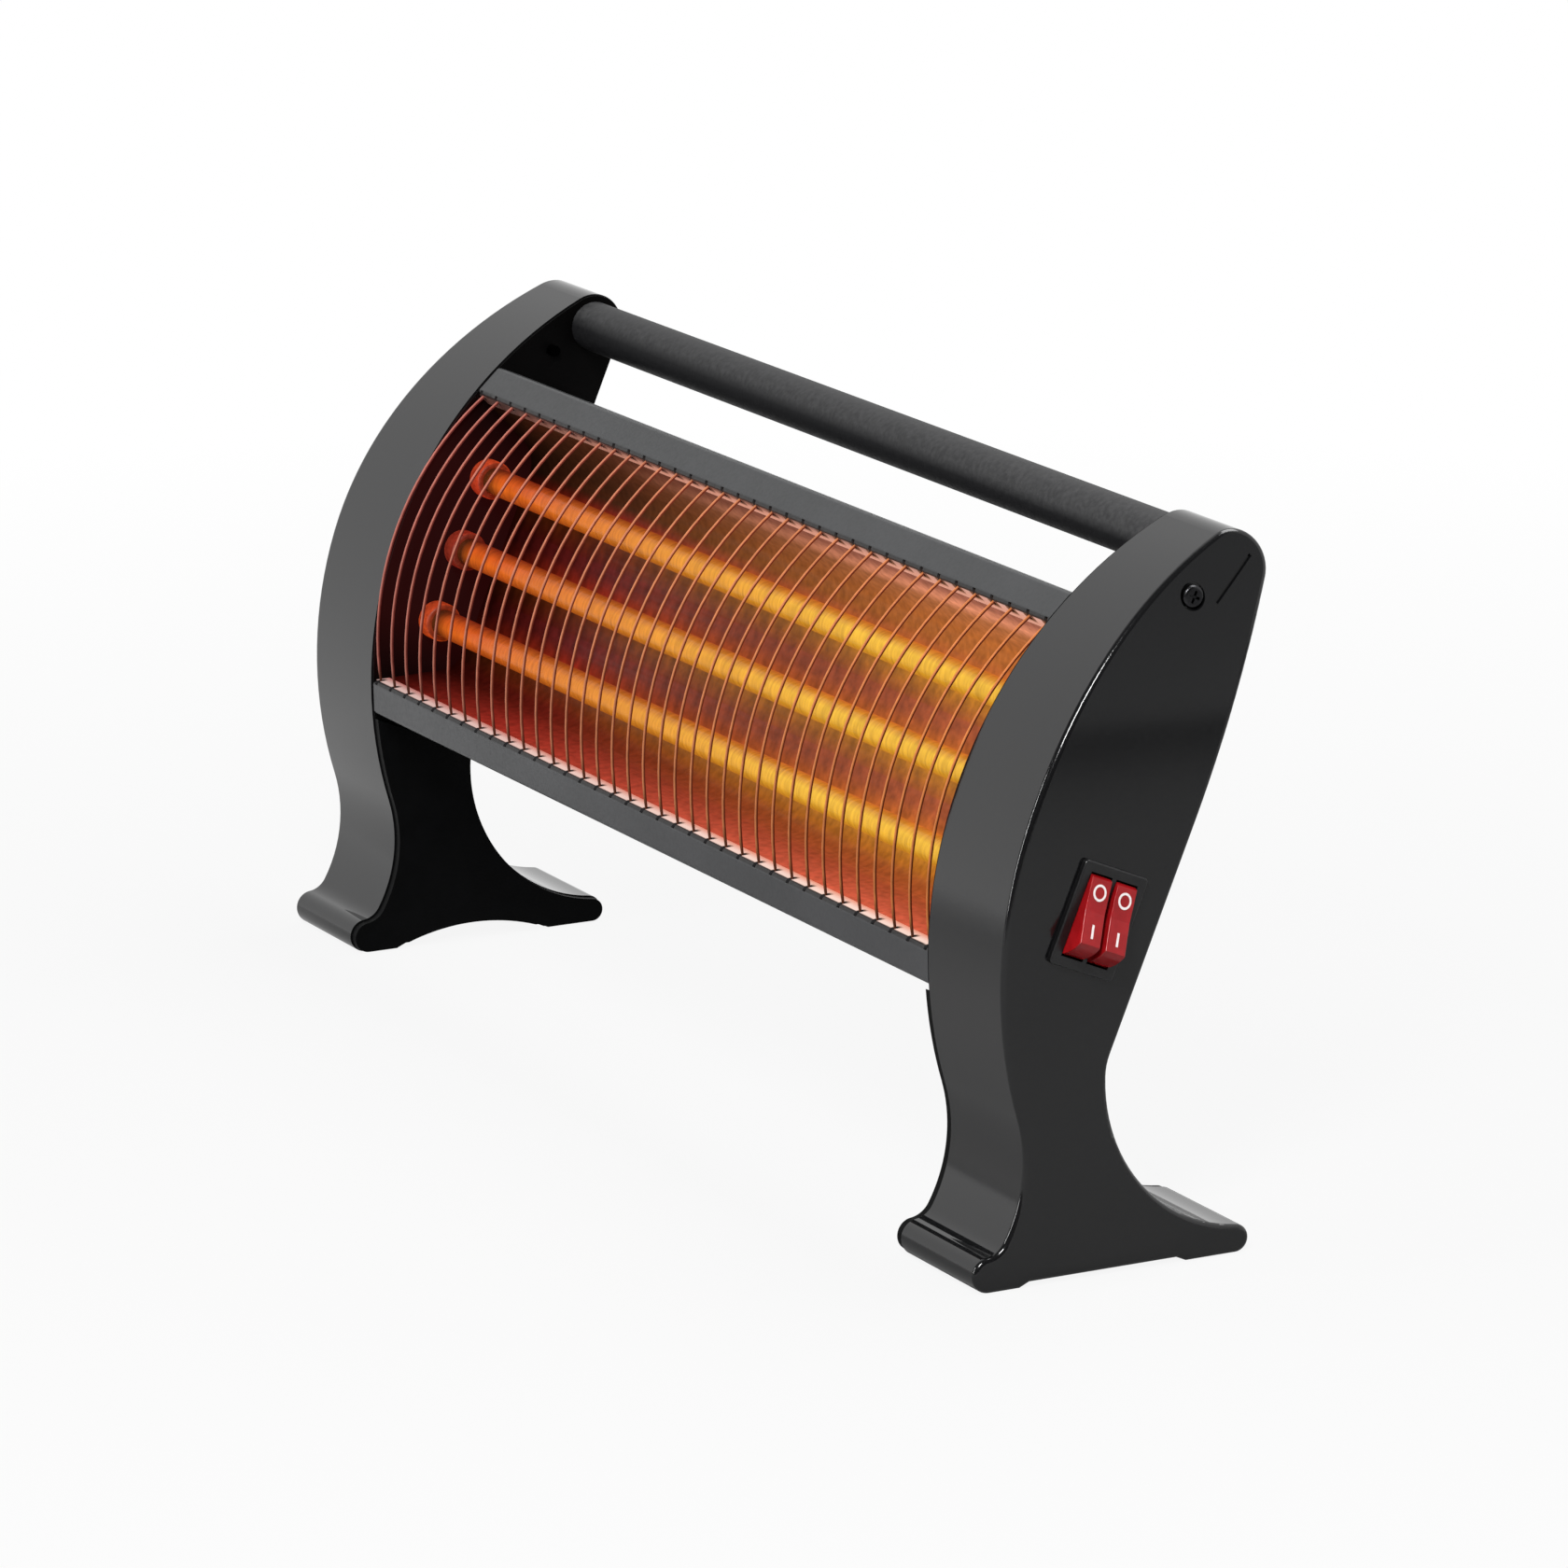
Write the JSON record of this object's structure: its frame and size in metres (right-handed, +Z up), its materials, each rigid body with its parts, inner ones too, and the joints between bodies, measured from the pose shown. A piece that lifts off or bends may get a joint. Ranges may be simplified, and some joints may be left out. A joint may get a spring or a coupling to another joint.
{
  "type": "space heater",
  "caption": "Free-standing radiant space heater: quartz tubes before a polished reflector, bowed wire grille, moulded side panels that are the feet, tube handle and a rocker switch on the side.",
  "frame": {"origin": "on the floor, under the middle of the bounding box", "axes": "+X to the switch side, -Y to the front that radiates, +Z up"},
  "size_m": [0.5216, 0.1126, 0.2368],
  "materials": {
    "panel_plastic": "gloss",
    "handle_paint": "matt",
    "plate_paint": "satin",
    "cover_plastic": "satin",
    "rail_paint": "satin",
    "cover_paint": "satin",
    "reflector_mirror": "polished",
    "grille_chrome": "polished",
    "quartz": "clear",
    "element_glow": "glowing",
    "cap_ceramic": "matt",
    "terminal_steel": "satin",
    "bus_brass": "satin",
    "switch_plastic": "satin",
    "rocker_red": "gloss",
    "pin_steel": "satin",
    "lead_insulation": "matt",
    "block_plastic": "matt",
    "gland_plastic": "satin",
    "screw_steel": "satin"
  },
  "bodies": {
    "heater": {"cord_gland": "gland_plastic", "gland_nut": "gland_plastic", "handle_tube": "handle_paint", "heating_element_bottom": "element_glow", "heating_element_middle": "element_glow", "heating_element_top": "element_glow", "inner_screws": "screw_steel", "left_bus_bar": "bus_brass", "left_cap_bottom": "cap_ceramic", "left_cap_middle": "cap_ceramic", "left_cap_top": "cap_ceramic", "left_end_plate": "plate_paint", "left_foot_cover": "cover_plastic", "left_side_panel": "panel_plastic", "lower_rail": "rail_paint", "neutral_lead": "lead_insulation", "outer_screws": "screw_steel", "pair_lead": "lead_insulation", "quartz_tube_bottom": "quartz", "quartz_tube_middle": "quartz", "quartz_tube_top": "quartz", "rear_cover": "cover_paint", "reflector": "reflector_mirror", "right_bus_bar": "bus_brass", "right_cap_bottom": "cap_ceramic", "right_cap_middle": "cap_ceramic", "right_cap_top": "cap_ceramic", "right_end_plate": "plate_paint", "right_foot_cover": "cover_plastic", "right_side_panel": "panel_plastic", "rocker_pin": "pin_steel", "supply_lead": "lead_insulation", "switch_housing": "switch_plastic", "switch_terminals": "bus_brass", "terminal_block": "block_plastic", "terminal_nuts": "terminal_steel", "terminal_studs": "terminal_steel", "terminal_washers": "terminal_steel", "top_lead": "lead_insulation", "upper_rail": "rail_paint", "wire_grille": "grille_chrome"},
    "front_rocker": {"front_rocker": "rocker_red"},
    "rear_rocker": {"rear_rocker": "rocker_red"}
  },
  "joints": [
    {"name": "front_rocker_hinge", "type": "hinge", "parent": "heater", "child": "front_rocker", "pos_m": [0.24924, -0.01266, 0.11896], "axis": [0, 0.9219, -0.3875], "range_deg": [0, 34]},
    {"name": "rear_rocker_hinge", "type": "hinge", "parent": "heater", "child": "rear_rocker", "pos_m": [0.24924, -0.01266, 0.11896], "axis": [0, 0.9219, -0.3875], "range_deg": [0, 34]}
  ]
}
